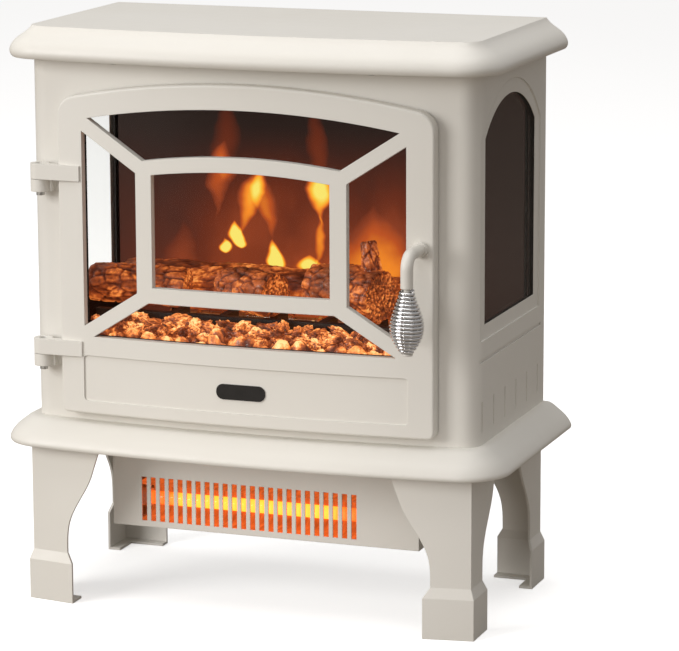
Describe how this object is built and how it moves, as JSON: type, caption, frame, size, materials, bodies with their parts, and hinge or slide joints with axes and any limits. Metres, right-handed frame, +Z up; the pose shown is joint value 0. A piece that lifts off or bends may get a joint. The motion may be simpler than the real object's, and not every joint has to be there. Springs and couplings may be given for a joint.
{
  "type": "electric fireplace",
  "caption": "Freestanding electric stove heater with a hinged bow-front door, side windows, resin logs, flame screen and a slotted radiant heater between its legs.",
  "frame": {"origin": "centre of the bounding box on the floor, under the feet", "axes": "+Z up, the door looks along -Y, +X to the right seen from the front"},
  "size_m": [0.515, 0.2926, 0.568],
  "materials": {
    "ivory_paint": "satin",
    "zinc_steel": "satin",
    "chrome_wire": "polished",
    "dark_glass": "polished",
    "clear_glass": "polished",
    "black_steel": "matte",
    "dark_steel": "matte",
    "flame_panel": "satin",
    "black_plastic": "matte",
    "button_plastic": "satin",
    "rocker_plastic": "gloss",
    "gasket_rope": "matte",
    "badge_plate": "satin",
    "polished_aluminium": "polished",
    "strip_foil": "polished",
    "quartz": "polished",
    "hot_filament": "matte",
    "white_ceramic": "satin",
    "bakelite": "matte",
    "charcoal_grate": "matte",
    "log_resin": "matte",
    "ember_resin": "matte",
    "circuit_board": "satin"
  },
  "bodies": {
    "stove": {"top_plate": "ivory_paint", "plinth": "ivory_paint", "body_shell": "ivory_paint", "leg_front_left": "ivory_paint", "leg_front_right": "ivory_paint", "leg_back_left": "ivory_paint", "leg_back_right": "ivory_paint", "hinge_lugs": "ivory_paint", "heater_housing": "ivory_paint", "top_pan": "ivory_paint", "top_screws": "zinc_steel", "rear_screws": "zinc_steel", "leg_bolts": "zinc_steel", "heater_screws": "zinc_steel", "hinge_pins": "zinc_steel", "tube_brackets": "zinc_steel", "side_glass": "dark_glass", "side_liners": "black_steel", "firebox_ceiling": "black_steel", "ember_tray": "black_steel", "spindle_brackets": "black_steel", "rear_panel": "dark_steel", "flame_screen": "flame_panel", "control_bezel": "black_plastic", "cord_gland": "black_plastic", "tilt_switch": "black_plastic", "spindle_motor": "black_plastic", "catch_magnet": "black_plastic", "reflector": "polished_aluminium", "quartz_tube": "quartz", "filament": "hot_filament", "tube_caps": "white_ceramic", "thermal_cutout": "bakelite", "grate": "charcoal_grate", "log_back": "log_resin", "log_left": "log_resin", "log_middle": "log_resin", "log_right": "log_resin", "log_stub": "log_resin", "ember_bed": "ember_resin", "ember_light_board": "circuit_board", "flame_light_board": "circuit_board", "control_board": "circuit_board", "power_board": "circuit_board"},
    "door": {"door_frame": "ivory_paint", "door_glass": "clear_glass", "door_gasket": "gasket_rope", "badge": "badge_plate", "strike_plate": "zinc_steel", "hinge_straps": "ivory_paint", "handle_rod": "ivory_paint", "handle_coil": "chrome_wire", "handle_screw": "zinc_steel"},
    "flame_spindle": {"spindle_rod": "zinc_steel", "spindle_strips": "strip_foil"},
    "main_rocker": {"main_rocker": "rocker_plastic"},
    "button_power": {"button_power": "button_plastic"},
    "button_flame": {"button_flame": "button_plastic"},
    "button_heat": {"button_heat": "button_plastic"},
    "button_timer": {"button_timer": "button_plastic"}
  },
  "joints": [
    {"name": "door_swing", "type": "hinge", "parent": "stove", "child": "door", "pos_m": [-0.212, -0.08551, 0.35], "axis": [0, 0, -1], "range_deg": [0, 110]},
    {"name": "flame_spindle_spin", "type": "hinge", "parent": "stove", "child": "flame_spindle", "pos_m": [0, 0.0875, 0.262], "axis": [1, 0, 0], "continuous": true},
    {"name": "main_rocker_tilt", "type": "hinge", "parent": "stove", "child": "main_rocker", "pos_m": [0.176, 0.1335, 0.47], "axis": [-1, 0, 0], "range_deg": [0, 16]},
    {"name": "button_power_press", "type": "slide", "parent": "stove", "child": "button_power", "axis": [0, -1, 0], "range_m": [0, 0.0012], "stiffness_N_per_m": 400, "springref_m": -0.001},
    {"name": "button_flame_press", "type": "slide", "parent": "stove", "child": "button_flame", "axis": [0, -1, 0], "range_m": [0, 0.0012], "stiffness_N_per_m": 400, "springref_m": -0.001},
    {"name": "button_heat_press", "type": "slide", "parent": "stove", "child": "button_heat", "axis": [0, -1, 0], "range_m": [0, 0.0012], "stiffness_N_per_m": 400, "springref_m": -0.001},
    {"name": "button_timer_press", "type": "slide", "parent": "stove", "child": "button_timer", "axis": [0, -1, 0], "range_m": [0, 0.0012], "stiffness_N_per_m": 400, "springref_m": -0.001}
  ]
}
